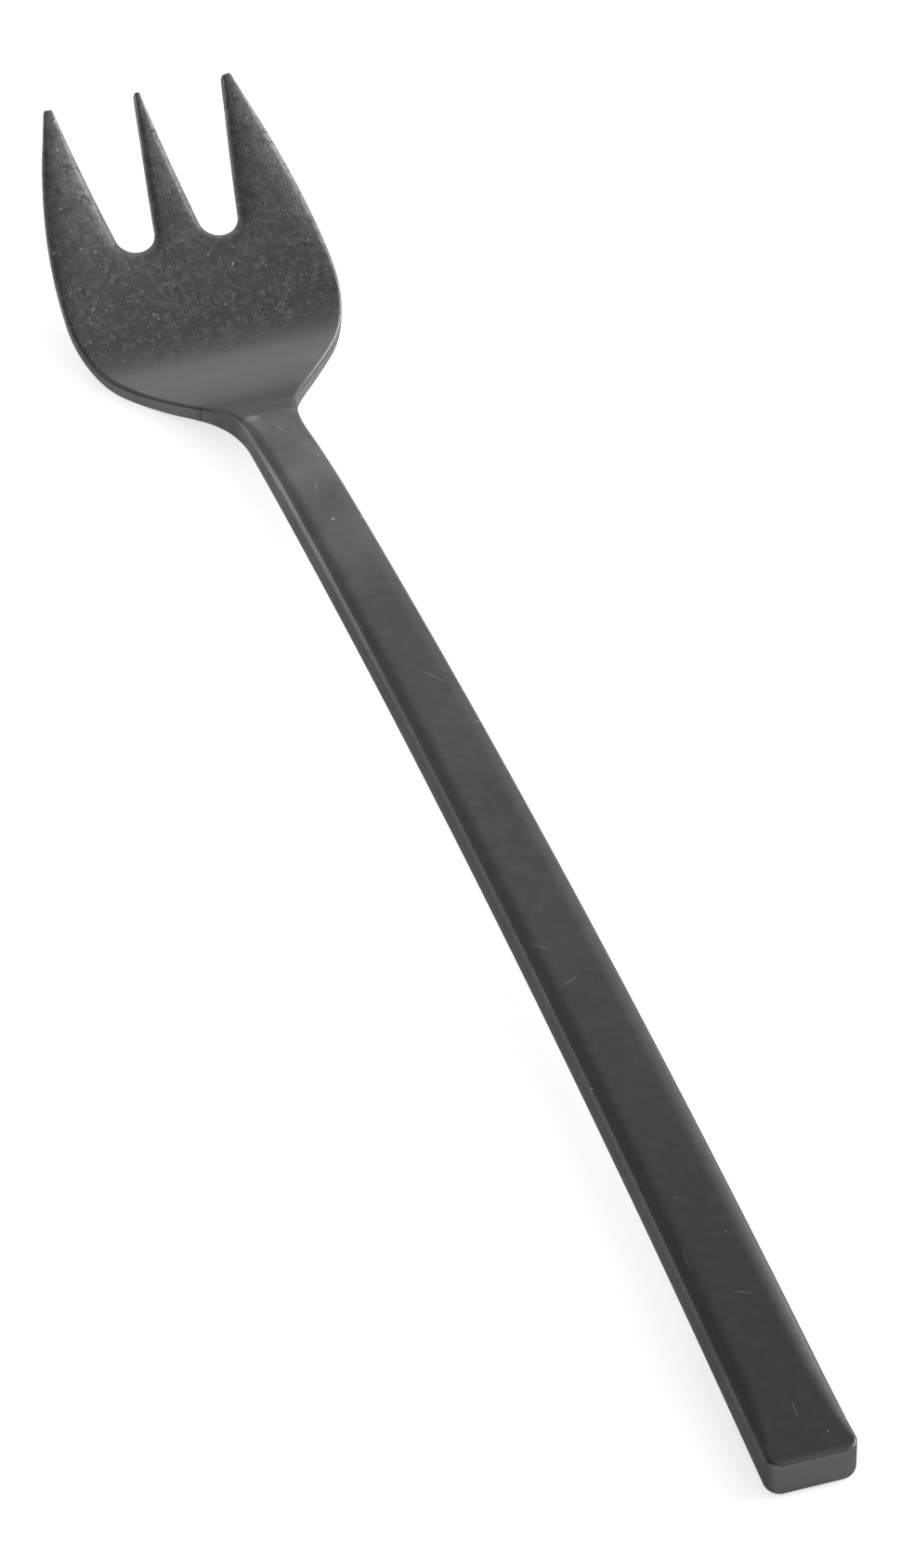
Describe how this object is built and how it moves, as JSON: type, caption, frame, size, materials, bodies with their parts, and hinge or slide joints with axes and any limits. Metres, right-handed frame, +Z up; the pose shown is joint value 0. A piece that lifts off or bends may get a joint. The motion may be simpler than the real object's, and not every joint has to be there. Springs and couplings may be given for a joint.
{
  "type": "dinner fork",
  "caption": "Dinner fork with a bent plate head, short tapered tines and a solid arched bar handle, in tumbled black steel, for spearing and lifting food.",
  "frame": {"origin": "on the table under the middle of the fork's length and width, with the fork lying on its belly and its handle's end", "axes": "+Y along the fork from the handle's end to the tine tips, +Z up to the hollow side of the head, +X across the tines to the right"},
  "size_m": [0.0286, 0.2, 0.015],
  "materials": {
    "head_steel": "black steel, tumbled with stone so that it is finely speckled",
    "handle_steel": "black steel, tumbled to a soft satin with a few fine scratches",
    "weld_steel": "black steel weld, ground flush and a little lighter"
  },
  "bodies": {
    "root": {"fork_head": "head_steel", "handle_bar": "handle_steel", "neck_weld": "weld_steel"}
  },
  "joints": []
}
